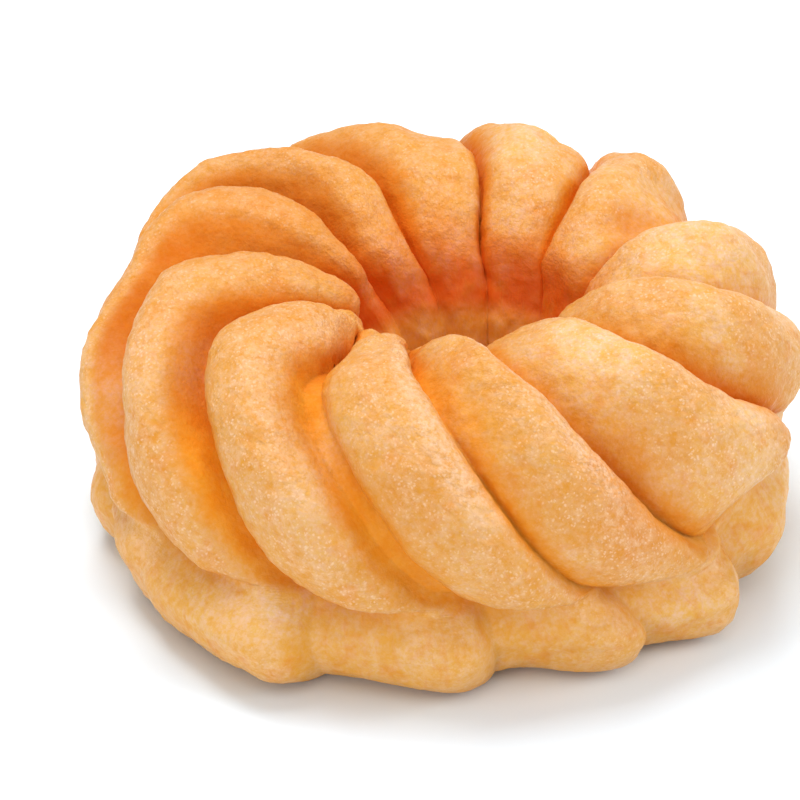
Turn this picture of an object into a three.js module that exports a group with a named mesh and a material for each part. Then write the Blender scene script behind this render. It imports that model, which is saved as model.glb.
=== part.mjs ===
// A French cruller: a ring of choux dough piped through a star nozzle while it turned, then fried.
// It is one solid. Twelve plump ridges start as rounded tips at the rim of the hole, run over the
// top and sweep round the outer side. Below a crease, each one carries on as a wide base lobe down
// to the flat foot that the ring was fried on. Millimetres, +Z up, the foot on Z = 0.

import * as THREE from 'three';

// The section of the ring, station by station, from the outer edge of the foot up the outside, over
// the top and down through the hole. Each station gives the radius from the ring's axis and the
// height, first along a ridge's crest and then along the groove between two ridges.
const SECTION = [
  { place: 'outer edge of the foot', crest: [39.7, 0], groove: [36.2, 0] },
  { place: 'belly of a base lobe', crest: [45.2, 6.8], groove: [42.0, 6.4] },
  { place: 'crease above the lobes', crest: [42.9, 11.9], groove: [40.8, 12.3] },
  { place: 'lower lip of a ridge', crest: [45.2, 13.5], groove: [41.4, 14.8] },
  { place: 'belly of a ridge', crest: [45.8, 20.5], groove: [41.4, 19.8] },
  { place: 'outer shoulder', crest: [42.6, 29.2], groove: [37.6, 26.4] },
  { place: 'top, outer half', crest: [34.8, 36.6], groove: [31.2, 31.2] },
  { place: 'top, inner half', crest: [23.5, 37.2], groove: [23.5, 31.5] },
  { place: 'tip at the rim of the hole', crest: [13.8, 31.6], groove: [16.0, 28.5] },
  { place: 'crease under the tips', crest: [13.0, 25.8], groove: [14.2, 25.0] },
  { place: 'narrowest place of the hole', crest: [9.8, 17.0], groove: [10.8, 17.0] },
  { place: 'hole near the foot', crest: [12.5, 6.0], groove: [13.3, 6.0] },
  { place: 'inner edge of the foot', crest: [18.0, 0], groove: [18.5, 0] },
];
const STATIONS = SECTION.length;

// The groove on the clockwise side of each ridge, seen from above: its angle in degrees round the
// ring, counter-clockwise from +X, at six stations of the section. The front of the ring is at 270.
// valley and cleft say how deep that groove is between the ridges and between the base lobes, as a
// share of the section's depth. openness is how gently the ridge rises from its clockwise groove and
// then falls to the other, against the usual, and lean is how far its crest on the top is from its
// usual place, as a share of its width. channel is how much of its width lies flat in the groove
// beyond it. The piping was uneven, so no two ridges are alike.
const GROOVE_STATIONS = [0.8, 2.3, 4.4, 6, 7, 8];
const RIDGES = [
  {
    side: 'left, at the back',
    groove: [198, 191, 173, 146, 140, 148],
    valley: 1.2,
    cleft: 0.8,
    openness: [0.7, 1.6],
    lean: -0.12,
    channel: 0,
  },
  {
    side: 'left',
    groove: [222, 219, 202, 181, 176, 171],
    valley: 1.15,
    cleft: 0.25,
    openness: [0.6, 0.6],
    lean: -0.05,
    channel: 0.08,
  },
  {
    side: 'left, at the front',
    groove: [250, 247, 232, 211, 208, 198],
    valley: 1.15,
    cleft: 1,
    openness: [0.45, 0.65],
    lean: 0,
    channel: 0.17,
  },
  {
    side: 'front, left of middle',
    groove: [278, 274, 260, 243, 238, 215],
    valley: 0.92,
    cleft: 1.1,
    openness: [0.4, 0.42],
    lean: 0.06,
    channel: 0,
  },
  {
    side: 'front, in the middle',
    groove: [303, 294, 280, 267, 257, 243],
    valley: 0.76,
    cleft: 0.9,
    openness: [0.6, 0.45],
    lean: 0.15,
    channel: 0,
  },
  {
    side: 'front, the widest',
    groove: [322, 316, 302, 289, 278, 274],
    valley: 1.04,
    cleft: 1.2,
    openness: [0.45, 0.45],
    lean: 0.15,
    channel: 0,
  },
  {
    side: 'right, at the front',
    groove: [354, 348, 336, 317, 313, 314],
    valley: 1.1,
    cleft: 1,
    openness: [0.5, 0.45],
    lean: 0.15,
    channel: 0,
  },
  {
    side: 'right',
    groove: [384, 379, 367, 347, 342, 346],
    valley: 1.05,
    cleft: 0.6,
    openness: [0.5, 0.45],
    lean: 0.14,
    channel: 0,
  },
  {
    side: 'right, at the back',
    groove: [413, 408, 396, 377, 373, 367],
    valley: 1.1,
    cleft: 0.9,
    openness: [0.65, 0.45],
    lean: 0.18,
    channel: 0,
  },
  {
    side: 'back, right of middle',
    groove: [447, 442, 432, 414, 408, 403],
    valley: 0.95,
    cleft: 0.7,
    openness: [0.55, 0.95],
    lean: -0.04,
    channel: 0,
  },
  {
    side: 'back, in the middle',
    groove: [480, 475, 464, 446, 441, 440],
    valley: 1,
    cleft: 1,
    openness: [0.42, 1.3],
    lean: -0.14,
    channel: 0,
  },
  {
    side: 'back, at the left',
    groove: [521, 515, 502, 484, 475, 475],
    valley: 1,
    cleft: 0.6,
    openness: [0.6, 1.5],
    lean: -0.15,
    channel: 0,
  },
];
const FULL_TURN = 360;

// The base tier, where the cleft counts instead of the valley, in stations from the foot's outer edge.
const BASE_TIER = { start: -2.5, end: 2.8, blend: 1 };

// A ridge's lean sets in above the belly and is full on the top. Towards the rim of the hole the
// crest comes upright again, by this share of its lean.
const LEAN = { start: 4.6, blend: 1.6 };
const UPRIGHT = { start: 6.8, blend: 1.2, share: 0.75 };

// A channel narrows to nothing by its end, on the way to the rim of the hole.
const CHANNEL = { end: 7.8, blend: 1.4 };

// How the arch over a ridge falls off from its crest to its grooves: 2 is a parabola, and less makes
// the crest sharper.
const ARCH_POWER = 1.75;

// Lumps and dents of the crust: where each is, how far it reaches round the ring in degrees and along
// the section in stations, and how far it stands out and up, or in and down where less than zero.
const LUMPS = [
  { place: 'wide lobe at the front left', angle: 238, station: 0.7, reach: [22, 1.1], out: 3.3, up: 0 },
  { place: 'hollow left of it', angle: 207, station: 0.8, reach: [12, 1], out: -0.4, up: 0 },
  { place: 'front lobe', angle: 262, station: 0.6, reach: [14, 1], out: 0.6, up: 0 },
  { place: 'nose at the front right', angle: 313, station: 0.6, reach: [9, 1], out: 2.3, up: 0 },
  { place: 'fold beside the nose', angle: 331, station: 0.9, reach: [6, 0.8], out: 2.3, up: 0 },
  { place: 'shallow right lobe', angle: 347, station: 1.1, reach: [8, 0.8], out: -2.6, up: 0 },
  { place: 'lean belly at the right', angle: 339, station: 3.8, reach: [6, 0.8], out: -0.7, up: 0 },
  { place: 'slack left lobe', angle: 184, station: 1.3, reach: [7, 0.8], out: -1.4, up: 0 },
  { place: 'hollow under it', angle: 194, station: 0.7, reach: [4, 0.7], out: -0.7, up: 0 },
  { place: 'hollow at the front left foot', angle: 215, station: 0.6, reach: [5, 0.7], out: -0.8, up: 0 },
  { place: 'notch at the front foot', angle: 284, station: 0.3, reach: [4, 0.6], out: -0.6, up: 0 },
  { place: 'high crease at the left', angle: 197, station: 3.2, reach: [11, 0.7], out: -1.6, up: 0 },
  { place: 'notch at the right', angle: 354, station: 3.4, reach: [8, 0.8], out: -2.8, up: 0 },
  { place: 'notch at the back left', angle: 159, station: 4.7, reach: [8, 0.6], out: -1.6, up: 0 },
  { place: 'slack left shoulder', angle: 176, station: 5.2, reach: [9, 0.7], out: -1.8, up: 0 },
  { place: 'full shoulder, back left', angle: 142, station: 5.5, reach: [15, 0.8], out: 2.6, up: 0 },
  { place: 'full shoulder at the back', angle: 116, station: 5.6, reach: [8, 0.7], out: 2.3, up: 0 },
  { place: 'slack top, back left', angle: 131, station: 6, reach: [6, 0.6], out: -0.3, up: -0.4 },
  { place: 'full shoulder behind the hole', angle: 83, station: 5.6, reach: [4, 0.7], out: 0.5, up: 0.8 },
  { place: 'dent between two right ridges', angle: 33, station: 5.6, reach: [5, 0.7], out: -0.9, up: 0 },
  { place: 'broad back of a ridge', angle: 53, station: 5.9, reach: [8, 0.9], out: 0.8, up: 0.1 },
  { place: 'low corner of that ridge', angle: 50, station: 6.1, reach: [3, 0.6], out: 0, up: -0.8 },
  { place: 'its full right shoulder', angle: 42, station: 5.5, reach: [4, 0.7], out: 1.1, up: 0.5 },
  { place: 'low end of a back ridge', angle: 93, station: 6, reach: [7, 1], out: 0, up: -1.5 },
  { place: 'deep groove at the back right', angle: 63, station: 6, reach: [4, 0.7], out: 0, up: -0.8 },
  { place: 'deep groove at the right', angle: 13, station: 5.8, reach: [4, 0.8], out: -0.5, up: -0.6 },
  { place: 'narrow groove at the right', angle: 12, station: 4.9, reach: [4, 0.7], out: -0.8, up: 0 },
  { place: 'slack side of a ridge', angle: 37, station: 5.5, reach: [5, 0.8], out: -0.7, up: -0.2 },
  { place: 'flat tip at the front', angle: 232, station: 7.7, reach: [9, 0.8], out: 0, up: -2.7 },
  { place: 'back wall leaning into the hole', angle: 95, station: 9.1, reach: [55, 1.1], out: -2.6, up: 0 },
  { place: 'foot of that wall', angle: 95, station: 10.3, reach: [60, 0.9], out: -1.8, up: 0 },
  { place: 'dent in the ridge before it', angle: 25, station: 6.9, reach: [5, 0.6], out: 0, up: -1.2 },
  { place: 'drawn-in shoulder at the front', angle: 302, station: 4.8, reach: [8, 0.8], out: -1.6, up: -0.4 },
  { place: 'low rim above that wall', angle: 95, station: 8.1, reach: [55, 0.7], out: 1.4, up: -0.6 },
  { place: 'dent in a right ridge', angle: 44, station: 6.7, reach: [5, 0.8], out: 0, up: -1 },
  { place: 'low tip at the front', angle: 234, station: 7.8, reach: [9, 0.8], out: 0, up: -1.2 },
  { place: 'sunk top of that tip', angle: 251, station: 7.2, reach: [7, 0.7], out: 0, up: -1.4 },
  { place: 'tip drawn back and sunk', angle: 210, station: 8, reach: [9, 0.9], out: 1, up: -1.4 },
  { place: 'lip raised at the right', angle: 341, station: 2.7, reach: [9, 1.1], out: -1, up: 6 },
  { place: 'hollow behind that lip', angle: 348, station: 2.4, reach: [4, 0.7], out: -1.2, up: -1 },
  { place: 'knot where two ridges meet', angle: 312, station: 2.7, reach: [4, 0.5], out: 1.6, up: 0 },
  { place: 'lip raised at the front right', angle: 325, station: 2.8, reach: [9, 1], out: -0.4, up: 5.6 },
  { place: 'lobe raised under it', angle: 325, station: 1.5, reach: [11, 0.9], out: 0.3, up: 2.4 },
  { place: 'plump lobe under it', angle: 345, station: 1.5, reach: [13, 0.9], out: 1, up: 3.2 },
  { place: 'lip coming down behind it', angle: 12, station: 2.6, reach: [15, 1.2], out: 0, up: 3.6 },
  { place: 'lobe under that', angle: 12, station: 1.5, reach: [15, 0.9], out: 0, up: 1.6 },
  { place: 'small roll under that lip', angle: 318, station: 1.9, reach: [8, 0.3], out: 1.8, up: 0 },
  { place: 'crease under the roll', angle: 313, station: 1.45, reach: [8, 0.25], out: -1.6, up: 0 },
  { place: 'full top of the wide lobe', angle: 240, station: 1.4, reach: [9, 0.6], out: 1.2, up: 0 },
  { place: 'soft crease beside it', angle: 217, station: 1.2, reach: [3, 1], out: -0.8, up: 0 },
  { place: 'plump rim at the right', angle: 358, station: 7.8, reach: [12, 1.1], out: 2.2, up: -1.2 },
  { place: 'hollow at the right, low', angle: 2, station: 1.8, reach: [9, 1], out: -2.4, up: -2 },
  { place: 'pointed end of the widest ridge', angle: 334, station: 4.2, reach: [5, 0.6], out: 1, up: 0 },
];

// Across a ridge, at each station: where its crest lies, from the clockwise groove (0) to the other
// (1), and how gently its flanks rise, where less is plumper. Crests lie past the middle, so that
// side is the steeper one. The tips at the rim are the plumpest, with tight grooves between them.
const CREST_PLACES = [0.76, 0.76, 0.74, 0.66, 0.6, 0.6, 0.6, 0.6, 0.6, 0.6, 0.6, 0.66, 0.74];
const VALLEY_OPENNESS = [0.8, 0.8, 0.8, 0.8, 0.85, 0.9, 0.85, 0.55, 0.36, 0.6, 1, 1, 1];

// In the hole the grooves go on turning the same way, by this angle between these stations.
const HOLE_TWIST = -14;
const HOLE_TWIST_START = 8;
const HOLE_TWIST_END = 10.5;

// On the underside the grooves run from the lobes' angles back to those of the hole's wall.
const UNDERSIDE_START = 10.4;
const UNDERSIDE_END = 13;

// The ring puffed up unevenly: the back is taller, and the hole is to the right of the middle.
const BACK_RISE = 2.2;
const RISE_FULL_HEIGHT = 37;
const RISE_SETTLED_HEIGHT = 30;
const HOLE_SHIFT = 2.5;
const SHIFT_START_RADIUS = 30;
const SHIFT_FULL_RADIUS = 12;

// The mesh: columns across each ridge, and rows round the section.
const COLUMNS_PER_RIDGE = 10;
const ROWS = 41;

const CRUST_COLOUR = '#e3a765';
const CRUST_ROUGHNESS = 0.55;

// 0 up to x = 0, 1 from x = 1, and an S-shaped rise between.
function easeBetween(x) {
  const t = THREE.MathUtils.clamp(x, 0, 1);
  return t * t * (3 - 2 * t);
}

// A smooth closed run through values at whole stations: the one that lies at the given station.
function closedRun(values, station) {
  const count = values.length;
  const before = Math.floor(station);
  const t = station - before;
  const [a, b, c, d] = [-1, 0, 1, 2].map((step) => values[(before + step + count) % count]);
  const bend = (c - a) * t + (2 * a - 5 * b + 4 * c - d) * t ** 2 + (3 * b - a - 3 * c + d) * t ** 3;
  return b + bend / 2;
}

// A smooth open run through values at uneven stations. Past either end it stays level.
function openRun(stations, values, station) {
  const last = stations.length - 1;
  const x = THREE.MathUtils.clamp(station, stations[0], stations[last]);
  const slopeBetween = (i, j) => (values[j] - values[i]) / (stations[j] - stations[i]);
  const slopeAt = (i) => slopeBetween(Math.max(i - 1, 0), Math.min(i + 1, last));
  let i = 0;
  while (i < last - 1 && x >= stations[i + 1]) {
    i += 1;
  }
  const gap = stations[i + 1] - stations[i];
  const t = (x - stations[i]) / gap;
  const start = values[i] * (2 * t ** 3 - 3 * t ** 2 + 1) + slopeAt(i) * gap * (t ** 3 - 2 * t ** 2 + t);
  const end = values[i + 1] * (3 * t ** 2 - 2 * t ** 3) + slopeAt(i + 1) * gap * (t ** 3 - t ** 2);
  return start + end;
}

// The angle, in degrees, of a groove at a station. Groove 12 is groove 0 after a full turn.
function grooveAngle(index, station) {
  const angles = RIDGES[index % RIDGES.length].groove;
  const turn = FULL_TURN * Math.floor(index / RIDGES.length);
  const twist = easeBetween((station - HOLE_TWIST_START) / (HOLE_TWIST_END - HOLE_TWIST_START));
  const above = openRun(GROOVE_STATIONS, angles, station) + HOLE_TWIST * twist;
  const underside = easeBetween((station - UNDERSIDE_START) / (UNDERSIDE_END - UNDERSIDE_START));
  return turn + THREE.MathUtils.lerp(above, angles[0], underside);
}

// The shortest signed way from one number to another on a circle of the given length.
function wayRound(from, to, circle) {
  return THREE.MathUtils.euclideanModulo(to - from + circle / 2, circle) - circle / 2;
}

// How far a station belongs to the base tier: 1 in it, and 0 well away from it.
function baseTierShare(station) {
  const fromFoot = wayRound(0, station, STATIONS);
  const pastStart = easeBetween((fromFoot - BASE_TIER.start) / BASE_TIER.blend);
  const beforeEnd = easeBetween((BASE_TIER.end - fromFoot) / BASE_TIER.blend);
  return pastStart * beforeEnd;
}

// How much deeper or shallower than the section's the groove is, at a place across a ridge.
function grooveDepth(ridge, place, station) {
  const next = RIDGES[(ridge + 1) % RIDGES.length];
  const valley = THREE.MathUtils.lerp(RIDGES[ridge].valley, next.valley, place);
  const cleft = THREE.MathUtils.lerp(RIDGES[ridge].cleft, next.cleft, place);
  return THREE.MathUtils.lerp(valley, cleft, baseTierShare(station));
}

// How high the surface stands between the groove (0) and the crest (1), at a place across a ridge.
function heightAcross(ridge, place, station) {
  const half = 0.5;
  const { lean, openness, channel } = RIDGES[ridge];
  const aboveBase = 1 - baseTierShare(station);
  const settingIn = easeBetween((station - LEAN.start) / LEAN.blend);
  const upright = UPRIGHT.share * easeBetween((station - UPRIGHT.start) / UPRIGHT.blend);
  const crestPlace = closedRun(CREST_PLACES, station) + lean * settingIn * (1 - upright);
  const flat = channel * aboveBase * easeBetween((CHANNEL.end - station) / CHANNEL.blend);
  const inside = Math.min(place / (1 - flat), 1);
  const centred = inside ** (Math.log(half) / Math.log(crestPlace));
  const arch = Math.max(1 - Math.abs(2 * centred - 1) ** ARCH_POWER, 0);
  const flank = THREE.MathUtils.lerp(1, centred < half ? openness[0] : openness[1], aboveBase);
  const share = arch ** (closedRun(VALLEY_OPENNESS, station) * flank);
  return 1 - (1 - share) * grooveDepth(ridge, place, station);
}

// How strongly a lump or dent is felt at an angle in degrees and a station: 1 in its middle.
function lumpShare(lump, degrees, station) {
  const [reachRound, reachAlong] = lump.reach;
  const round = wayRound(lump.angle, degrees, FULL_TURN) / reachRound;
  const along = wayRound(lump.station, station, STATIONS) / reachAlong;
  return Math.exp(-(round ** 2) - along ** 2);
}

const crestRadii = SECTION.map(({ crest }) => crest[0]);
const crestHeights = SECTION.map(({ crest }) => crest[1]);
const grooveRadii = SECTION.map(({ groove }) => groove[0]);
const grooveHeights = SECTION.map(({ groove }) => groove[1]);

// A point of the crust, from the ridge, the place across it (0 to 1) and the station of the section.
function crustPoint(ridge, place, station) {
  const { lerp, clamp, degToRad } = THREE.MathUtils;
  const degrees = lerp(grooveAngle(ridge, station), grooveAngle(ridge + 1, station), place);
  const angle = degToRad(degrees);
  const across = heightAcross(ridge, place, station);
  let radius = lerp(closedRun(grooveRadii, station), closedRun(crestRadii, station), across);
  let level = lerp(closedRun(grooveHeights, station), closedRun(crestHeights, station), across);
  for (const lump of LUMPS) {
    const share = lumpShare(lump, degrees, station);
    radius += lump.out * share;
    level += lump.up * share;
  }

  const towardsBack = (1 + Math.sin(angle)) / 2;
  const rise = (BACK_RISE / RISE_FULL_HEIGHT) * towardsBack * easeBetween(level / RISE_SETTLED_HEIGHT);
  const height = Math.max(level * (1 + rise), 0);

  const inward = (SHIFT_START_RADIUS - radius) / (SHIFT_START_RADIUS - SHIFT_FULL_RADIUS);
  const shift = HOLE_SHIFT * clamp(inward, 0, 1);
  return new THREE.Vector3(radius * Math.cos(angle) + shift, radius * Math.sin(angle), height);
}

// The closed skin of the ring: a grid of columns along the ridges and rows round the section, joined
// to itself both ways. Its middle, seen from above, is put on the Z axis.
function makeRing() {
  const columns = RIDGES.length * COLUMNS_PER_RIDGE;
  const positions = [];
  const triangles = [];
  for (let column = 0; column < columns; column += 1) {
    const ridge = Math.floor(column / COLUMNS_PER_RIDGE);
    const place = (column % COLUMNS_PER_RIDGE) / COLUMNS_PER_RIDGE;
    for (let row = 0; row < ROWS; row += 1) {
      positions.push(...crustPoint(ridge, place, (row * STATIONS) / ROWS).toArray());
      const nextColumn = (column + 1) % columns;
      const nextRow = (row + 1) % ROWS;
      const here = column * ROWS + row;
      const right = nextColumn * ROWS + row;
      const above = column * ROWS + nextRow;
      const across = nextColumn * ROWS + nextRow;
      triangles.push(here, right, across, here, across, above);
    }
  }
  const geometry = new THREE.BufferGeometry();
  geometry.setAttribute('position', new THREE.Float32BufferAttribute(positions, 3));
  geometry.setIndex(triangles);
  geometry.computeBoundingBox();
  const middle = geometry.boundingBox.getCenter(new THREE.Vector3());
  geometry.translate(-middle.x, -middle.y, 0);
  geometry.computeVertexNormals();
  return geometry;
}

const crust = new THREE.MeshStandardMaterial({
  color: CRUST_COLOUR,
  roughness: CRUST_ROUGHNESS,
  metalness: 0,
});
const cruller = new THREE.Mesh(makeRing(), crust);
cruller.name = 'cruller';

const group = new THREE.Group();
group.add(cruller);

export default group;
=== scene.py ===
import math

import bpy
import numpy as np
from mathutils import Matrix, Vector
from mathutils.bvhtree import BVHTree


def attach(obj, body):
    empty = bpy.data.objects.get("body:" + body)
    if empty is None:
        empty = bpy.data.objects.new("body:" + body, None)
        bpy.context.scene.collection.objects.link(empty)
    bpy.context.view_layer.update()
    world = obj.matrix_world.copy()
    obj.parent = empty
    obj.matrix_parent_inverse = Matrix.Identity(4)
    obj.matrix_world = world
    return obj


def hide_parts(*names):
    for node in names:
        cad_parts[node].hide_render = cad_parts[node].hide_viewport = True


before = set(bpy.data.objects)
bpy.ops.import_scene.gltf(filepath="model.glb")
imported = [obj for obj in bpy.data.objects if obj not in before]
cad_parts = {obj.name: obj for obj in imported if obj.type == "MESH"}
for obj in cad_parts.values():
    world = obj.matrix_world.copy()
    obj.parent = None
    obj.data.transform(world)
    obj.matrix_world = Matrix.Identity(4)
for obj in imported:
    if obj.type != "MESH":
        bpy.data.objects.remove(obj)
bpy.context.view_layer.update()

# ---------------------------------------------------------------------------------------------
# The ring. Soft choux dough is piped through a wide star nozzle while the board turns under it,
# so that its ridges lie round the ring in a swirl. In the hot oil they puff up and shut against
# each other, and the underside sets flat. One torus is shaped into it, station by station.
# ---------------------------------------------------------------------------------------------
MM = 0.001
FULL_TURN = 360

# Radius and height of a ridge's crest, then of the groove beside it, in millimetres. Station 0 is
# the outer edge of the foot, 1 the belly of a base lobe, 2 the crease above it, 3 the lower lip of
# a ridge, 4 its belly, 5 its shoulder, 6 and 7 its top, 8 its tip at the rim of the hole, 9 to 11
# the hole's wall, and 12 the inner edge of the foot.
SECTION = np.array([
    (39.7, 0.0, 36.2, 0.0),
    (45.2, 6.8, 42.0, 6.4),
    (42.9, 11.9, 40.8, 12.3),
    (45.2, 13.5, 41.4, 14.8),
    (45.8, 20.5, 41.4, 19.8),
    (42.6, 29.2, 37.6, 26.4),
    (34.8, 36.6, 31.2, 31.2),
    (23.5, 37.2, 23.5, 31.5),
    (13.8, 31.6, 16.0, 28.5),
    (13.0, 25.8, 14.2, 25.0),
    (9.8, 17.0, 10.8, 17.0),
    (12.5, 6.0, 13.3, 6.0),
    (18.0, 0.0, 18.5, 0.0),
])
STATIONS = len(SECTION)

# The twelve ridges, each with the groove clockwise of it. The groove's angle is given at six
# stations, counter-clockwise from +X, so that the front is at 270. Then come how deep it is between
# the ridges and between the base lobes, how openly the ridge rises from it and falls to the next
# one, how far the crest leans, and how much of the ridge's width lies flat in the next groove.
GROOVE_STATIONS = np.array([0.8, 2.3, 4.4, 6, 7, 8])
RIDGE_TABLE = np.array([
    (198, 191, 173, 146, 140, 148, 1.20, 0.80, 0.70, 1.60, -0.12, 0.00),
    (222, 219, 202, 181, 176, 171, 1.15, 0.25, 0.60, 0.60, -0.05, 0.08),
    (250, 247, 232, 211, 208, 198, 1.15, 1.00, 0.45, 0.65, 0.00, 0.17),
    (278, 274, 260, 243, 238, 215, 0.92, 1.10, 0.40, 0.42, 0.06, 0.00),
    (303, 294, 280, 267, 257, 243, 0.76, 0.90, 0.60, 0.45, 0.15, 0.00),
    (322, 316, 302, 289, 278, 274, 1.04, 1.20, 0.45, 0.45, 0.15, 0.00),
    (354, 348, 336, 317, 313, 314, 1.10, 1.00, 0.50, 0.45, 0.15, 0.00),
    (384, 379, 367, 347, 342, 346, 1.05, 0.60, 0.50, 0.45, 0.14, 0.00),
    (413, 408, 396, 377, 373, 367, 1.10, 0.90, 0.65, 0.45, 0.18, 0.00),
    (447, 442, 432, 414, 408, 403, 0.95, 0.70, 0.55, 0.95, -0.04, 0.00),
    (480, 475, 464, 446, 441, 440, 1.00, 1.00, 0.42, 1.30, -0.14, 0.00),
    (521, 515, 502, 484, 475, 475, 1.00, 0.60, 0.60, 1.50, -0.15, 0.00),
])
RIDGES = len(RIDGE_TABLE)
GROOVE_ANGLES = RIDGE_TABLE[:, :len(GROOVE_STATIONS)]
VALLEYS, CLEFTS, RISES, FALLS, LEANS, CHANNELS = RIDGE_TABLE[:, len(GROOVE_STATIONS):].T

# Lumps and dents: angle, station, reach round the ring and along the section, mm out, mm up.
LUMPS = [
    (238, 0.7, 22, 1.1, 3.3, 0),  # wide lobe at the front left
    (207, 0.8, 12, 1.0, -0.4, 0),  # hollow left of it
    (262, 0.6, 14, 1.0, 0.6, 0),  # front lobe
    (313, 0.6, 9, 1.0, 2.3, 0),  # nose at the front right
    (331, 0.9, 6, 0.8, 2.3, 0),  # fold beside the nose
    (347, 1.1, 8, 0.8, -2.6, 0),  # shallow right lobe
    (339, 3.8, 6, 0.8, -0.7, 0),  # lean belly at the right
    (184, 1.3, 7, 0.8, -1.4, 0),  # slack left lobe
    (194, 0.7, 4, 0.7, -0.7, 0),  # hollow under it
    (215, 0.6, 5, 0.7, -0.8, 0),  # hollow at the front left foot
    (284, 0.3, 4, 0.6, -0.6, 0),  # notch at the front foot
    (197, 3.2, 11, 0.7, -1.6, 0),  # high crease at the left
    (354, 3.4, 8, 0.8, -2.8, 0),  # notch at the right
    (159, 4.7, 8, 0.6, -1.6, 0),  # notch at the back left
    (176, 5.2, 9, 0.7, -1.8, 0),  # slack left shoulder
    (142, 5.5, 15, 0.8, 2.6, 0),  # full shoulder, back left
    (116, 5.6, 8, 0.7, 2.3, 0),  # full shoulder at the back
    (131, 6.0, 6, 0.6, -0.3, -0.4),  # slack top, back left
    (83, 5.6, 4, 0.7, 0.5, 0.8),  # full shoulder behind the hole
    (33, 5.6, 5, 0.7, -0.9, 0),  # dent between two right ridges
    (53, 5.9, 8, 0.9, 0.8, 0.1),  # broad back of a ridge
    (50, 6.1, 3, 0.6, 0, -0.8),  # low corner of that ridge
    (42, 5.5, 4, 0.7, 1.1, 0.5),  # its full right shoulder
    (93, 6.0, 7, 1.0, 0, -1.5),  # low end of a back ridge
    (63, 6.0, 4, 0.7, 0, -0.8),  # deep groove at the back right
    (13, 5.8, 4, 0.8, -0.5, -0.6),  # deep groove at the right
    (12, 4.9, 4, 0.7, -0.8, 0),  # narrow groove at the right
    (37, 5.5, 5, 0.8, -0.7, -0.2),  # slack side of a ridge
    (232, 7.7, 9, 0.8, 0, -2.7),  # flat tip at the front
    (95, 9.1, 55, 1.1, -2.6, 0),  # back wall leaning into the hole
    (95, 10.3, 60, 0.9, -1.8, 0),  # foot of that wall
    (25, 6.9, 5, 0.6, 0, -1.2),  # dent on top of a right ridge
    (302, 4.8, 8, 0.8, -1.6, -0.4),  # drawn-in shoulder at the front
    (95, 8.1, 55, 0.7, 1.4, -0.6),  # low rim above the back wall
    (44, 6.7, 5, 0.8, 0, -1.0),  # dent on top of the ridge behind it
    (234, 7.8, 9, 0.8, 0, -1.2),  # low tip at the front
    (251, 7.2, 7, 0.7, 0, -1.4),  # sunk top of that tip
    (210, 8.0, 9, 0.9, 1.0, -1.4),  # tip drawn back and sunk
    (341, 2.7, 9, 1.1, -1.0, 6.0),  # lip raised at the right
    (348, 2.4, 4, 0.7, -1.2, -1.0),  # hollow behind that lip
    (312, 2.7, 4, 0.5, 1.6, 0),  # knot where two ridges meet
    (325, 2.8, 9, 1.0, -0.4, 5.6),  # lip raised at the front right
    (325, 1.5, 11, 0.9, 0.3, 2.4),  # lobe raised under it
    (345, 1.5, 13, 0.9, 1.0, 3.2),  # plump lobe right of that
    (12, 2.6, 15, 1.2, 0, 3.6),  # lip coming down again behind
    (12, 1.5, 15, 0.9, 0, 1.6),  # lobe under that lip
    (318, 1.9, 8, 0.3, 1.8, 0),  # small roll under the front right lip
    (313, 1.45, 8, 0.25, -1.6, 0),  # crease under the roll
    (240, 1.4, 9, 0.6, 1.2, 0),  # full top of the wide lobe
    (217, 1.2, 3, 1.0, -0.8, 0),  # soft crease beside it
    (358, 7.8, 12, 1.1, 2.2, -1.2),  # plump rim at the right
    (2, 1.8, 9, 1.0, -2.4, -2.0),  # hollow at the right, low
    (334, 4.2, 5, 0.6, 1.0, 0),  # pointed end of the widest ridge
]

# Across a ridge, at each station: where the crest lies between its two grooves, and how openly
# its flanks rise.
CREST_PLACES = np.array([0.76, 0.76, 0.74, 0.66, 0.6, 0.6, 0.6, 0.6, 0.6, 0.6, 0.6, 0.66, 0.74])
VALLEY_OPENNESS = np.array([0.8, 0.8, 0.8, 0.8, 0.85, 0.9, 0.85, 0.55, 0.36, 0.6, 1.0, 1.0, 1.0])
CREST_ROUNDNESS = 1.75

# Where each change along the section starts or ends, and over how many stations it blends.
BASE_TIER_START, BASE_TIER_END = -2.5, 2.8
LEAN_START, LEAN_BLEND = 4.6, 1.6
UPRIGHT_START, UPRIGHT_BLEND, UPRIGHT_SHARE = 6.8, 1.2, 0.75
CHANNEL_END, CHANNEL_BLEND = 7.8, 1.4
HOLE_TWIST, HOLE_TWIST_START, HOLE_TWIST_END = -14, 8, 10.5
UNDERSIDE_START, UNDERSIDE_END = 10.4, 13

# The ring puffed up more at the back, and the hole is to the right of the middle, in millimetres.
BACK_RISE, RISE_FULL_HEIGHT, RISE_SETTLED_HEIGHT = 2.2, 37, 30
HOLE_SHIFT, SHIFT_START_RADIUS, SHIFT_FULL_RADIUS = 2.5, 30, 12

# The far edge of a ridge: where it starts and ends across the ridge, and how softly.
FAR_EDGE_START, FAR_EDGE_START_BLEND = 0.55, 0.15
FAR_EDGE_END, FAR_EDGE_END_BLEND = 0.98, 0.10


def ease(x):
    """0 up to x = 0, 1 from x = 1, and an S-shaped rise between."""
    t = np.clip(x, 0, 1)
    return t * t * (3 - 2 * t)


def way_round(start, end, circle):
    """The shortest signed way from one number to another on a circle of that length."""
    return (end - start + circle / 2) % circle - circle / 2


def closed_run(values, station):
    """A smooth closed run through values at whole stations."""
    before = np.floor(station).astype(int)
    t = station - before
    a, b, c, d = (values[(before + step) % len(values)] for step in (-1, 0, 1, 2))
    bend = (c - a) * t + (2 * a - 5 * b + 4 * c - d) * t ** 2 + (3 * b - a - 3 * c + d) * t ** 3
    return b + bend / 2


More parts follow.
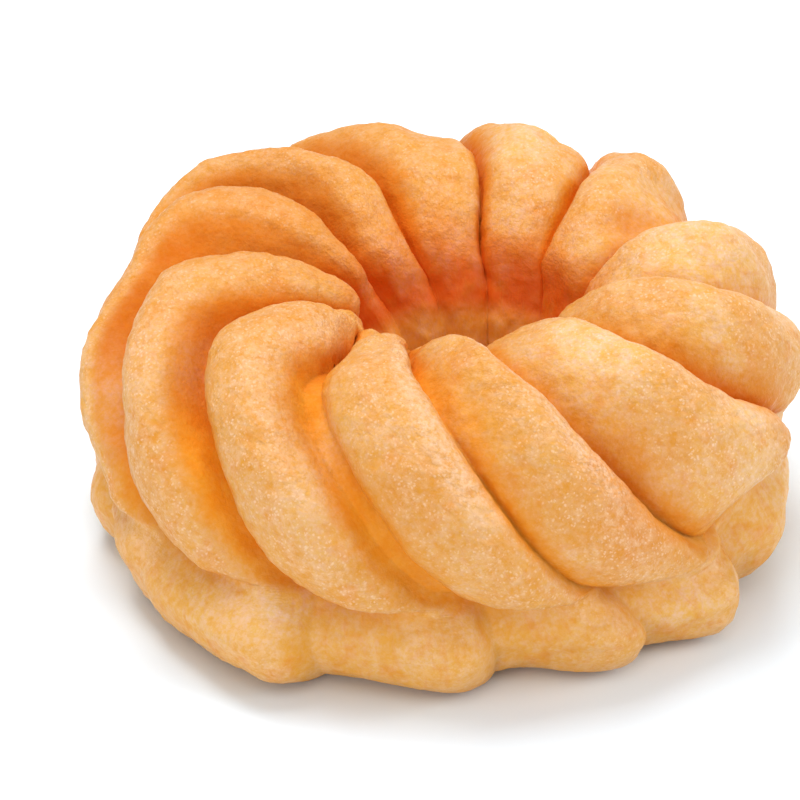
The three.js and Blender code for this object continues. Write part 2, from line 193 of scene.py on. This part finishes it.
def open_run(stations, values, station):
    """A smooth open run through rows of values at uneven stations, level past either end."""
    slopes = np.empty_like(values)
    slopes[0] = (values[1] - values[0]) / (stations[1] - stations[0])
    slopes[-1] = (values[-1] - values[-2]) / (stations[-1] - stations[-2])
    slopes[1:-1] = (values[2:] - values[:-2]) / (stations[2:] - stations[:-2])[:, None]
    x = np.clip(station, stations[0], stations[-1])
    before = np.clip(np.searchsorted(stations, x, side="right") - 1, 0, len(stations) - 2)
    after = before + 1
    gap = (stations[after] - stations[before])[:, None]
    t = (x - stations[before])[:, None] / gap
    level = values[before] * (2 * t ** 3 - 3 * t ** 2 + 1) + values[after] * (3 * t ** 2 - 2 * t ** 3)
    slope = slopes[before] * (t ** 3 - 2 * t ** 2 + t) + slopes[after] * (t ** 3 - t ** 2)
    return level + slope * gap


def groove_degrees(station):
    """Degrees of all grooves, and of the first again after a full turn, at each station."""
    angles = np.vstack([GROOVE_ANGLES, GROOVE_ANGLES[:1] + FULL_TURN]).T
    twist = ease((station - HOLE_TWIST_START) / (HOLE_TWIST_END - HOLE_TWIST_START))
    above = open_run(GROOVE_STATIONS, angles, station) + HOLE_TWIST * twist[:, None]
    underside = ease((station - UNDERSIDE_START) / (UNDERSIDE_END - UNDERSIDE_START))[:, None]
    return above * (1 - underside) + angles[0] * underside


def local_share(angle, middle, reach_round, reach_along, degrees, station):
    """How strongly a lump or patch of the crust is felt: 1 in its middle, fading round it."""
    round_way = way_round(angle, degrees, FULL_TURN) / reach_round
    along_way = way_round(middle, station, STATIONS) / reach_along
    return np.exp(-round_way ** 2 - along_way ** 2)


def ridge_section(ridge, place, station):
    """Across a ridge: height between groove and crest, flank openness, and share of far edge."""
    after = (ridge + 1) % RIDGES
    valley = VALLEYS[ridge] * (1 - place) + VALLEYS[after] * place
    cleft = CLEFTS[ridge] * (1 - place) + CLEFTS[after] * place
    from_foot = way_round(0, station, STATIONS)
    base_tier = ease(from_foot - BASE_TIER_START) * ease(BASE_TIER_END - from_foot)
    depth = valley + (cleft - valley) * base_tier
    upright = UPRIGHT_SHARE * ease((station - UPRIGHT_START) / UPRIGHT_BLEND)
    leaning = ease((station - LEAN_START) / LEAN_BLEND) * (1 - upright)
    crest_place = closed_run(CREST_PLACES, station) + LEANS[ridge] * leaning
    channel = CHANNELS[ridge] * (1 - base_tier) * ease((CHANNEL_END - station) / CHANNEL_BLEND)
    inside = np.minimum(place / (1 - channel), 1)
    centred = inside ** (math.log(0.5) / np.log(crest_place))
    arch = np.maximum(1 - np.abs(2 * centred - 1) ** CREST_ROUNDNESS, 0)
    flank = np.where(centred < 0.5, RISES[ridge], FALLS[ridge])
    openness = closed_run(VALLEY_OPENNESS, station) * (1 + (flank - 1) * (1 - base_tier))
    across = 1 - (1 - arch ** openness) * depth
    far_edge = ease((centred - FAR_EDGE_START) / FAR_EDGE_START_BLEND)
    far_edge = far_edge * ease((FAR_EDGE_END - centred) / FAR_EDGE_END_BLEND)
    return across, flank, far_edge


def crust_points(ridge, place, station):
    """Points of the crust in millimetres and their degrees, and what ridge_section gives there."""
    angles = groove_degrees(station)
    every = np.arange(len(place))
    degrees = angles[every, ridge] * (1 - place) + angles[every, ridge + 1] * place
    angle = np.radians(degrees)
    across, flank, far_edge = ridge_section(ridge, place, station)

    crest_r, crest_z, groove_r, groove_z = (closed_run(line, station) for line in SECTION.T)
    radius = groove_r + (crest_r - groove_r) * across
    level = groove_z + (crest_z - groove_z) * across
    for lump_angle, lump_station, reach_round, reach_along, out, up in LUMPS:
        share = local_share(lump_angle, lump_station, reach_round, reach_along, degrees, station)
        radius = radius + out * share
        level = level + up * share

    towards_back = (1 + np.sin(angle)) / 2
    rise = BACK_RISE / RISE_FULL_HEIGHT * towards_back * ease(level / RISE_SETTLED_HEIGHT)
    height = np.maximum(level * (1 + rise), 0)
    inward = (SHIFT_START_RADIUS - radius) / (SHIFT_START_RADIUS - SHIFT_FULL_RADIUS)
    shift = HOLE_SHIFT * np.clip(inward, 0, 1)
    points = np.stack([radius * np.cos(angle) + shift, radius * np.sin(angle), height], axis=1)
    return points, degrees, across, flank, far_edge


# The torus that the ring is made from: columns round it, and rows round its section.
COLUMNS, ROWS = 384, 256
RING_RADIUS, TUBE_RADIUS = 28, 17
bpy.ops.object.select_all(action="DESELECT")
bpy.ops.mesh.primitive_torus_add(
    major_segments=COLUMNS // 2, minor_segments=ROWS,
    major_radius=RING_RADIUS * MM, minor_radius=TUBE_RADIUS * MM)
ring = bpy.context.object
ring.name = "cruller_crust"


def read_vectors(layer, name):
    """All vectors of that name in a layer of the ring's mesh, one row each."""
    values = np.empty(len(layer) * 3)
    layer.foreach_get(name, values)
    return values.reshape(-1, 3)


def grid_places():
    """The column round the ring and the row round the section of each vertex of the torus."""
    x, y, z = (read_vectors(ring.data.vertices, "co") / MM).T
    major = np.arctan2(y, x) / (2 * math.pi) % 1
    minor = np.arctan2(z, np.hypot(x, y) - RING_RADIUS) / (2 * math.pi) % 1
    return np.round(major * COLUMNS).astype(int) % COLUMNS, np.round(minor * ROWS).astype(int) % ROWS


# A torus is made with at most 256 columns, so each edge that runs round the ring is cut in two.
half_grid_rows = grid_places()[1]
ends = np.empty(len(ring.data.edges) * 2, int)
ring.data.edges.foreach_get("vertices", ends)
end_rows = half_grid_rows[ends.reshape(-1, 2)]
bpy.ops.object.mode_set(mode="EDIT")
bpy.ops.mesh.select_mode(type="EDGE")
bpy.ops.mesh.select_all(action="DESELECT")
bpy.ops.object.mode_set(mode="OBJECT")
ring.data.edges.foreach_set("select", end_rows[:, 0] == end_rows[:, 1])
bpy.ops.object.mode_set(mode="EDIT")
bpy.ops.mesh.subdivide(number_cuts=1)
bpy.ops.object.mode_set(mode="OBJECT")
column, row = grid_places()

# The rows are spread evenly along the crust, with few of them on the flat underside.
UNDERSIDE_SHARE = 0.2
STEPS_PER_STATION = 20
fine = np.linspace(0, STATIONS, STEPS_PER_STATION * STATIONS + 1)
crest_line = np.stack([closed_run(SECTION[:, 0], fine), closed_run(SECTION[:, 1], fine)], axis=1)
steps = np.hypot(*np.diff(crest_line, axis=0).T)
steps[fine[:-1] >= STATIONS - 1] *= UNDERSIDE_SHARE
lengths = np.concatenate([[0], np.cumsum(steps)])
station = np.interp(row / ROWS * lengths[-1], lengths, fine)

# Each vertex belongs to one ridge, and lies some share of the way from its groove to the next.
turn = column / COLUMNS * RIDGES
own_ridge = np.floor(turn).astype(int)
points, degrees, across, flank, far_edge = crust_points(own_ridge, turn - own_ridge, station)
ring_middle = (points.min(axis=0) + points.max(axis=0))[:2] / 2
points[:, :2] -= ring_middle
ring.data.vertices.foreach_set("co", (points * MM).ravel())
ring.data.update()
bpy.ops.object.shade_smooth()

# The crust swells and blisters unevenly as it fries, but not where it sits on the board. Each
# relief has its name, its grain and height in millimetres, and how many times finer grain is added.
RELIEFS = [("swelling", 9, 1.1, 2), ("wrinkles", 3.2, 0.42, 2), ("blisters", 1.4, 0.30, 1)]
FREE_CRUST, FREE_HEIGHT = "free_crust", 2
free = ring.vertex_groups.new(name=FREE_CRUST)
for index, share in enumerate(ease(points[:, 2] / FREE_HEIGHT)):
    free.add([index], float(share), "REPLACE")
for name, grain, swell, depth in RELIEFS:
    texture = bpy.data.textures.new(name, "CLOUDS")
    texture.noise_scale = grain * MM
    texture.noise_depth = depth
    relief = ring.modifiers.new(name, "DISPLACE")
    relief.texture = texture
    relief.texture_coords = "LOCAL"
    relief.vertex_group = FREE_CRUST
    relief.strength = swell * MM
    relief.mid_level = 0.5
    bpy.ops.object.modifier_apply(modifier=name)
ring.vertex_groups.clear()
crust_places = read_vectors(ring.data.vertices, "co")
crust_places[:, 2] = np.maximum(crust_places[:, 2], 0)
ring.data.vertices.foreach_set("co", crust_places.ravel())
ring.data.update()

# How sheltered each point is from the open, for painted shade: how many short rays meet crust again,
# and how near.
# The rays fan out evenly over the half round that the point faces. What they find is blurred over
# the points beside it, and scaled to suit the colours.
RAYS, RAY_REACH, RAY_START = 14, 14 * MM, 0.4 * MM
GOLDEN_ANGLE = 2.399963
NEARLY_UPRIGHT = 0.9
OCCLUSION_SHADE_SHARE = 0.70
OCCLUSION_BLURS = 3


def occlusion_of(places, normals):
    """The mean nearness of the crust that the rays from each point meet."""
    polygons = [tuple(polygon.vertices) for polygon in ring.data.polygons]
    cast = BVHTree.FromPolygons([Vector(place) for place in places], polygons).ray_cast
    helper = np.where(np.abs(normals[:, 2:]) < NEARLY_UPRIGHT, [[0, 0, 1]], [[1, 0, 0]])
    side_one = np.cross(normals, helper)
    side_one /= np.linalg.norm(side_one, axis=1)[:, None]
    side_two = np.cross(normals, side_one)
    starts = places + normals * RAY_START
    total = np.zeros(len(places))
    for ray in range(RAYS):
        sine = math.sqrt((ray + 0.5) / RAYS)
        cosine = math.sqrt(1 - sine * sine)
        round_turn = ray * GOLDEN_ANGLE
        tilted = side_one * (sine * math.cos(round_turn)) + side_two * (sine * math.sin(round_turn))
        ways = normals * cosine + tilted
        for index in range(len(places)):
            reach = cast(starts[index], ways[index], RAY_REACH)[3]
            if reach is not None:
                total[index] += 1 - reach / RAY_REACH
    return total / RAYS


occlusion_grid = np.zeros((COLUMNS, ROWS))
occlusion_grid[column, row] = occlusion_of(crust_places, read_vectors(ring.data.vertices, "normal"))
for blur in range(OCCLUSION_BLURS):
    for axis in (0, 1):
        beside = np.roll(occlusion_grid, 1, axis) + np.roll(occlusion_grid, -1, axis)
        occlusion_grid = (beside + 2 * occlusion_grid) / 4
occlusion_shade = OCCLUSION_SHADE_SHARE * occlusion_grid[column, row]

# Pale patches, partly paler crust and partly painted light on lobes, grooves and lit crests, then
# darker brown patches: angle, station, reach round the ring, reach along the section, strength.
# Each list goes up from low on the ring to the ridge tops.
PALE_AND_LIT_PATCHES = [
    (242, 1.75, 7, 0.45, 1.0),
    (345, 1.5, 8, 0.5, 0.5),
    (310, 1.2, 6, 0.5, 0.8),
    (232, 1.2, 6, 0.6, 0.45),
    (333, 1.5, 6, 0.5, 0.4),
    (210, 5.2, 6, 0.8, 0.4),
    (248, 5.4, 4, 1.0, 0.45),
    (297, 5.2, 4, 0.9, 0.15),
    (272, 5.4, 4, 1.0, 0.25),
    (197, 4.3, 7, 0.8, 0.5),
    (324, 4.4, 5, 0.7, 0.7),
    (352, 4.6, 8, 0.8, 0.5),
    (5, 5.6, 6, 0.8, 0.4),
    (66, 5.9, 8, 0.7, 0.4),
    (301, 6.3, 9, 0.8, 0.9),
    (15, 6.4, 14, 0.9, 0.9),
    (345, 6.3, 8, 0.6, 0.5),
    (358, 6.4, 8, 0.7, 0.85),
    (30, 6.4, 5, 0.6, 0.65),
    (70, 6.6, 8, 0.8, 0.5),
]
BROWN_PATCHES = [
    (300, 4.3, 9, 0.9, 0.8),
    (162, 4.6, 17, 1.1, 0.35),
    (336, 4.6, 6, 0.6, 0.55),
    (262, 4.9, 7, 0.9, 0.25),
    (205, 5.4, 8, 0.9, 0.30),
    (120, 6.0, 12, 0.8, 0.5),
    (25, 6.8, 6, 0.6, 0.9),
    (180, 6.8, 14, 0.8, 0.6),
    (222, 6.8, 5, 0.5, 0.4),
    (252, 6.8, 6, 0.6, 0.25),
    (150, 6.9, 22, 0.9, 0.7),
    (272, 7.2, 6, 0.6, 0.25),
]


def patch_shares(patches):
    """How strongly the patches are felt all together at each point, at most 1."""
    total = np.zeros(len(degrees))
    for angle, middle, reach_round, reach_along, strength in patches:
        total += strength * local_share(angle, middle, reach_round, reach_along, degrees, station)
    return np.minimum(total, 1)


# How much painted shade each ridge's grooves get, a deeper orange for shade and bounced orange
# light, deepest at the left. A ridge with tight flanks shows less of it than one with open flanks.
VALLEY_SHADE_DEPTHS = np.array([1.6, 2.0, 1.0, 1.1, 1.1, 1.0, 1.0, 1.0, 1.0, 1.0, 1.0, 1.0])
CLOSED_FLANK, LEAST_VALLEY = 0.1, 0.35
valley = (1 - across) * np.clip(flank - CLOSED_FLANK, LEAST_VALLEY, 1) * VALLEY_SHADE_DEPTHS[own_ridge]

# The far edges of the front ridges get a pale skin, partly paler crust and partly painted glints:
# how strong it is on each ridge.
FAR_EDGE_SKIN_GLINTS = np.array([0, 0, 0.35, 0.8, 0.9, 0.6, 0.4, 0.3, 0.2, 0, 0, 0])
SKIN_START, SKIN_END, SKIN_END_BLEND = 4.0, 7.9, 0.8
skin_and_glints = FAR_EDGE_SKIN_GLINTS[own_ridge] * far_edge * ease(station - SKIN_START)
skin_and_glints = skin_and_glints * ease((SKIN_END - station) / SKIN_END_BLEND)

# Each vertex keeps its way round the ring and along the section, for the patterns that follow them.
ring_angle = column / COLUMNS * 2 * math.pi
run = np.stack([np.cos(ring_angle), np.sin(ring_angle), station / STATIONS], axis=1)
layer = ring.data.attributes.new("run", "FLOAT_VECTOR", "POINT")
layer.data.foreach_set("vector", run.astype(np.float32).ravel())
CRUST_VALUES = {
    "ridge": across,
    "station": station,
    "occlusion_shade": occlusion_shade,
    "valley": valley,
    "skin_and_glints": skin_and_glints,
    "pale_and_lit": patch_shares(PALE_AND_LIT_PATCHES),
    "darker_patches": patch_shares(BROWN_PATCHES),
}
for name, values in CRUST_VALUES.items():
    layer = ring.data.attributes.new(name, "FLOAT", "POINT")
    layer.data.foreach_set("value", values.astype(np.float32))

# The crust's material: satin, finely blistered, pale gold on the crests and painted-shade orange in
# the grooves.
crust = bpy.data.materials.new("golden_crust")
crust.use_nodes = True
nodes, links = crust.node_tree.nodes, crust.node_tree.links
shader = nodes["Principled BSDF"]
object_place = nodes.new("ShaderNodeTexCoord").outputs["Object"]


def set_input(socket, value):
    """Feeds a socket from another node, or sets it to a number or an opaque colour."""
    if isinstance(value, bpy.types.NodeSocket):
        links.new(value, socket)
    elif isinstance(value, tuple):
        socket.default_value = (*value, 1)
    else:
        socket.default_value = value


def attribute(name):
    """The numbers that the ring's mesh keeps under that name."""
    node = nodes.new("ShaderNodeAttribute")
    node.attribute_name = name
    return node.outputs["Fac"]


def combined(kind, values):
    """The values joined by a sum or a product, two at a time."""
    total = values[0]
    for value in values[1:]:
        node = nodes.new("ShaderNodeMath")
        node.operation = kind
        set_input(node.inputs[0], total)
        set_input(node.inputs[1], value)
        total = node.outputs[0]
    return total


def times(*values):
    return combined("MULTIPLY", values)


def plus(*values):
    return combined("ADD", values)


def span(value, low, high, start=0.0, end=1.0):
    """An S-shaped change from start to end, while the value goes from low to high."""
    node = nodes.new("ShaderNodeMapRange")
    node.interpolation_type = "SMOOTHSTEP"
    for socket, entry in zip(node.inputs, (value, low, high, start, end)):
        set_input(socket, entry)
    return node.outputs["Result"]


def mix(share, first, second, kind="MIX"):
    """The first colour, changed to the second by that share."""
    node = nodes.new("ShaderNodeMix")
    node.data_type = "RGBA"
    node.blend_type = kind
    set_input(node.inputs["Factor"], share)
    set_input(node.inputs["A"], first)
    set_input(node.inputs["B"], second)
    return node.outputs["Result"]


def noise_at(where, scale, detail, roughness):
    """Cloudy noise that reads its place from a node, with that many features to a unit."""
    node = nodes.new("ShaderNodeTexNoise")
    links.new(where, node.inputs["Vector"])
    node.inputs["Scale"].default_value = scale
    node.inputs["Detail"].default_value = detail
    node.inputs["Roughness"].default_value = roughness
    return node


def noise(size, detail=2.0, roughness=0.5):
    """Cloudy noise with a grain of that many millimetres."""
    return noise_at(object_place, 1 / (size * MM), detail, roughness).outputs["Fac"]


def run_noise(around, along):
    """Noise drawn out round the ring or along the section, by how fine it is each way."""
    source = nodes.new("ShaderNodeAttribute")
    source.attribute_name = "run"
    stretch = nodes.new("ShaderNodeVectorMath")
    stretch.operation = "MULTIPLY"
    links.new(source.outputs["Vector"], stretch.inputs[0])
    stretch.inputs[1].default_value = (around, around, along)
    return noise_at(stretch.outputs[0], 1, 2.0, 0.6).outputs["Fac"]


# What the colours read: the mesh's own numbers, places on the ring in metres, and the noises.
ridge_height, valley_shade_depth, occlusion_shade_value = attribute("ridge"), attribute("valley"), attribute("occlusion_shade")
way_along, edge_skin_glints = attribute("station"), attribute("skin_and_glints")
separate = nodes.new("ShaderNodeSeparateXYZ")
links.new(object_place, separate.inputs[0])
rightwards, backwards, upwards = separate.outputs
patchy = noise(9)
mottled = noise(3.5, 3, 0.6)
coarse_mottle = noise(2.6, 2, 0.6)
fine_mottle = noise(1.1, 2, 0.6)
grainy = noise(0.45, 2, 0.65)
wrinkle = run_noise(22, 130)
streak = run_noise(60, 22)

# Gold, and painted shade: a deeper gold and orange the more sheltered the crust is and low in the
# grooves. In the front the painted shade stays yellower.
PALE_GOLD, SHADED_GOLD = (0.67, 0.312, 0.072), (0.69, 0.262, 0.026)
SHADED_ORANGE, FRONT_SHADED_ORANGE = (0.70, 0.175, 0.006), (0.76, 0.27, 0.02)
VALLEY_SHADE_ORANGE, FRONT_VALLEY_SHADE_ORANGE = (0.59, 0.140, 0.003), (0.75, 0.265, 0.012)
front = span(backwards, -0.020, -0.030)
groove_shade_share = times(span(ridge_height, 0.75, 0.0), span(way_along, 2.4, 3.4))
painted_shade_amount = plus(occlusion_shade_value, times(plus(mottled, -0.5), 0.18), times(groove_shade_share, 0.12))
golden = mix(span(painted_shade_amount, 0.00, 0.22), PALE_GOLD, SHADED_GOLD)
shaded_orange = mix(front, SHADED_ORANGE, FRONT_SHADED_ORANGE)
shaded = mix(span(painted_shade_amount, 0.16, 0.46, 0.0, 0.8), golden, shaded_orange)
# Painted shade in the grooves: a deeper orange for shade and bounced orange light, more on the left.
valley_shade_orange = mix(front, VALLEY_SHADE_ORANGE, FRONT_VALLEY_SHADE_ORANGE)
valley_shade_side = span(rightwards, 0.02, -0.015, 0.65, 0.92)
valley_shade_share = times(span(valley_shade_depth, 0.12, 0.60), span(way_along, 3.0, 4.6), valley_shade_side)
orange = mix(valley_shade_share, shaded, valley_shade_orange)

# Painted shade down the hole in red-orange, a lighter painted lit wall near its foot, and yellow on
# the lobes of the base tier.
HOLE_SHADE_RED, LIT_LOW_WALL, LOBE_YELLOW = (0.68, 0.100, 0.006), (0.80, 0.35, 0.07), (0.70, 0.365, 0.098)
hole_shade_start = span(backwards, 0.0, -0.012, 7.2, 8.2)
hole_shade_share = times(span(way_along, hole_shade_start, 9.0), span(way_along, 9.75, 9.35, 0.25, 1.0))
lit_low_wall = times(span(way_along, 9.15, 9.55), span(way_along, 12.2, 11.2))
red = mix(times(hole_shade_share, 0.93), orange, HOLE_SHADE_RED)
walled = mix(times(lit_low_wall, 0.90), red, LIT_LOW_WALL)
lobed = mix(times(span(way_along, 2.6, 1.6), 0.75), walled, LOBE_YELLOW)

# Pale patches, partly paler crust and partly painted light, more of them at the lit right; then
# brown mottles, streaks and darker brown patches.
PALE_AND_LIT_CRUST, MOTTLE_BROWN = (0.76, 0.475, 0.20), (0.66, 0.215, 0.024)
STREAK_BROWN, PATCH_BROWN = (0.67, 0.225, 0.028), (0.63, 0.205, 0.022)
# Painted light: the lit right side gets more pale patches, frost and specks.
painted_light_side = span(rightwards, -0.02, 0.030, 0.70, 1.35)
pale_and_lit_patch_share = times(span(patchy, 0.44, 0.68), painted_light_side, 0.38, span(valley_shade_depth, 0.40, 0.10))
pale_and_lit = mix(plus(pale_and_lit_patch_share, times(attribute("pale_and_lit"), 0.85)), lobed, PALE_AND_LIT_CRUST)
deep = mix(times(span(mottled, 0.52, 0.72), 0.40), pale_and_lit, MOTTLE_BROWN)
streaked = mix(times(span(streak, 0.50, 0.72), 0.25), deep, STREAK_BROWN)
darker = mix(times(attribute("darker_patches"), 0.75), streaked, PATCH_BROWN)

# Grain in two sizes, which takes the crust between a warmer and a cooler shade.
WARM_GRAIN, COOL_GRAIN = (0.99, 0.90, 0.58), (1.01, 1.06, 1.36)
WARM_FINE_GRAIN, COOL_FINE_GRAIN = (1.0, 0.965, 0.68), (1.0, 1.02, 1.30)
mottle = plus(times(fine_mottle, 0.5), times(coarse_mottle, 0.5))
coarse_shade = mix(span(mottle, 0.38, 0.62), WARM_GRAIN, COOL_GRAIN)
fine_shade = mix(span(noise(0.5, 3, 0.7), 0.38, 0.62), WARM_FINE_GRAIN, COOL_FINE_GRAIN)
grained = mix(1.0, mix(1.0, darker, coarse_shade, "MULTIPLY"), fine_shade, "MULTIPLY")

# Pale specks half a millimetre apart, partly dried blisters and partly painted glints on the open
# crests of the lit sides. Their cells are bent out of line.
PALE_SPECK_GLINT = (0.92, 0.74, 0.57)
SPECK_SPACING, SPECK_WANDER = 0.50 * MM, 0.55 * MM
wander = noise_at(object_place, 1 / SPECK_SPACING, 2.0, 0.5)
moved = nodes.new("ShaderNodeVectorMath")
moved.operation = "MULTIPLY_ADD"
links.new(wander.outputs["Color"], moved.inputs[0])
moved.inputs[1].default_value = (SPECK_WANDER, SPECK_WANDER, SPECK_WANDER)
links.new(object_place, moved.inputs[2])
speck_cells = nodes.new("ShaderNodeTexVoronoi")
links.new(moved.outputs[0], speck_cells.inputs["Vector"])
speck_cells.inputs["Scale"].default_value = 1 / SPECK_SPACING
from_speck = speck_cells.outputs["Distance"]
# Painted glints and sheen go on open crests at the lit right and the front left.
front_left = times(span(backwards, 0.002, -0.018, 0.0, 0.45), span(rightwards, 0.002, -0.014))
lit_crest_side = plus(times(painted_light_side, 0.88), front_left)
crest_share = times(span(ridge_height, 0.50, 0.98, 0.15, 1.0), span(valley_shade_depth, 0.45, 0.15))
open_air = times(span(occlusion_shade_value, 0.36, 0.08), span(way_along, 8.4, 7.0))
lit_crest_share = times(crest_share, open_air, lit_crest_side)
speck_dots = times(span(from_speck, 0.42, 0.12), span(noise(1.8), 0.36, 0.60, 0.25, 1.0))
speck_glints = times(speck_dots, lit_crest_share, span(way_along, 1.4, 3.4, 0.15, 0.36))
specked = mix(speck_glints, grained, PALE_SPECK_GLINT)

# A frosted look along the lit crests, partly pale film and partly painted sheen; the pale skin of
# the far edges with painted glints; and a brown line at the foot.
FROST_SHEEN, PALE_SKIN_GLINT, FOOT_BROWN = (0.80, 0.50, 0.29), (0.86, 0.58, 0.40), (0.50, 0.19, 0.035)
frost_clumps = span(noise(3.0, 2, 0.6), 0.38, 0.62, 0.35, 1.0)
frost_grain = times(span(noise(0.9, 4, 0.75), 0.36, 0.68), frost_clumps)
skin_glint_share = times(edge_skin_glints, span(noise(0.7, 3, 0.7), 0.38, 0.64, 0.12, 1.0), 0.62)
foot_line = times(span(upwards, 0.0016, 0.0004), 0.55)
frosted = mix(times(frost_grain, lit_crest_share, 0.46), specked, FROST_SHEEN)
skinned = mix(skin_glint_share, frosted, PALE_SKIN_GLINT)
links.new(mix(foot_line, skinned, FOOT_BROWN), shader.inputs["Base Color"])

# A satin gloss, duller in the grooves.
SPECULAR_LEVEL = 0.12
rough = plus(span(noise(0.8, 2, 0.6), 0.35, 0.65, 0.34, 0.60), times(valley_shade_share, 0.25))
links.new(rough, shader.inputs["Roughness"])
shader.inputs["Specular IOR Level"].default_value = SPECULAR_LEVEL

# Fine relief in millimetres: grain, specks, small dimples, and wrinkles across the crests. It is
# weaker down the hole and on the base tier.
grain_relief = plus(times(grainy, 0.11), times(noise(1.6), 0.17), times(grainy, edge_skin_glints, 0.08))
speck_relief = times(span(from_speck, 0.50, 0.05), speck_glints, 0.05)
wrinkle_relief = plus(times(wrinkle, crest_share, 0.30), times(wrinkle, edge_skin_glints, 0.25))
above_hole = span(way_along, 9.0, 7.6, 0.3, 1.0)
above_lobes = span(way_along, 2.0, 3.2, 0.45, 1.0)
bump = nodes.new("ShaderNodeBump")
bump.inputs["Strength"].default_value = 1
bump.inputs["Distance"].default_value = MM
relief_height = times(plus(grain_relief, speck_relief, wrinkle_relief), above_hole, above_lobes)
links.new(relief_height, bump.inputs["Height"])
links.new(bump.outputs["Normal"], shader.inputs["Normal"])

ring.data.materials.append(crust)
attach(ring, "root")
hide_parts("cruller")

# ---------------------------------------------------------------------------------------------
# The floor, the light and the camera. The cruller sits on a plain pale sheet under four soft
# lights, the strongest above and behind it, and is looked down on from the front with a long lens.
# ---------------------------------------------------------------------------------------------
FLOOR_SIZE, FLOOR_COLOUR, FLOOR_ROUGHNESS = 6, (0.84, 0.93, 1.0, 1), 0.9
bpy.ops.object.select_all(action="DESELECT")
bpy.ops.mesh.primitive_plane_add(size=FLOOR_SIZE, location=(0, 0, 0))
floor = bpy.context.object
floor.name = "floor"
paper = bpy.data.materials.new("pale_floor")
paper.use_nodes = True
paper_shader = paper.node_tree.nodes["Principled BSDF"]
paper_shader.inputs["Base Color"].default_value = FLOOR_COLOUR
paper_shader.inputs["Roughness"].default_value = FLOOR_ROUGHNESS
floor.data.materials.append(paper)

ROOM_LIGHT = 0.46
world = bpy.data.worlds.new("studio")
world.use_nodes = True
background = world.node_tree.nodes["Background"]
background.inputs["Color"].default_value = (1, 1, 1, 1)
background.inputs["Strength"].default_value = ROOM_LIGHT
bpy.context.scene.world = world
bpy.context.scene.view_settings.view_transform = "Standard"

# Each soft light: its name, its place and the point it faces in metres, its width and its watts.
SOFTBOXES = [
    ("key", (-0.12, 0.28, 0.90), (0, 0, 0.0), 0.55, 7.4),
    ("front", (0.05, -0.50, 0.85), (0, 0, 0.02), 0.6, 1.5),
    ("fill", (-0.60, -1.0, 0.16), (0, 0, 0.01), 0.7, 6.2),
    ("side", (1.0, -0.1, 0.50), (0, 0, 0.02), 0.6, 4.5),
]
for name, stand, target, width, watts in SOFTBOXES:
    lamp = bpy.data.lights.new(name, "AREA")
    lamp.size = width
    lamp.energy = watts
    box = bpy.data.objects.new(name, lamp)
    bpy.context.scene.collection.objects.link(box)
    box.location = stand
    box.rotation_euler = (Vector(target) - Vector(stand)).to_track_quat("-Z", "Y").to_euler()

# The camera aims a little left of the hole, so that the ring's right edge runs out of the frame.
AIM_X, AIM_HEIGHT = -5.4, 16.0
DISTANCE, ELEVATION = 0.4, math.radians(29)
SENSOR_WIDTH, FOCAL_LENGTH = 36, 144.54
NEAREST, FARTHEST = 0.01, 20
lens = bpy.data.cameras.new("camera")
lens.sensor_width = SENSOR_WIDTH
lens.lens = FOCAL_LENGTH
lens.clip_start, lens.clip_end = NEAREST, FARTHEST
camera = bpy.data.objects.new("camera", lens)
bpy.context.scene.collection.objects.link(camera)
aim = Vector((AIM_X - ring_middle[0], -ring_middle[1], AIM_HEIGHT)) * MM
back_off = Vector((0, -math.cos(ELEVATION), math.sin(ELEVATION)))
camera.location = aim + back_off * DISTANCE
camera.rotation_euler = (-back_off).to_track_quat("-Z", "Y").to_euler()
bpy.context.scene.camera = camera
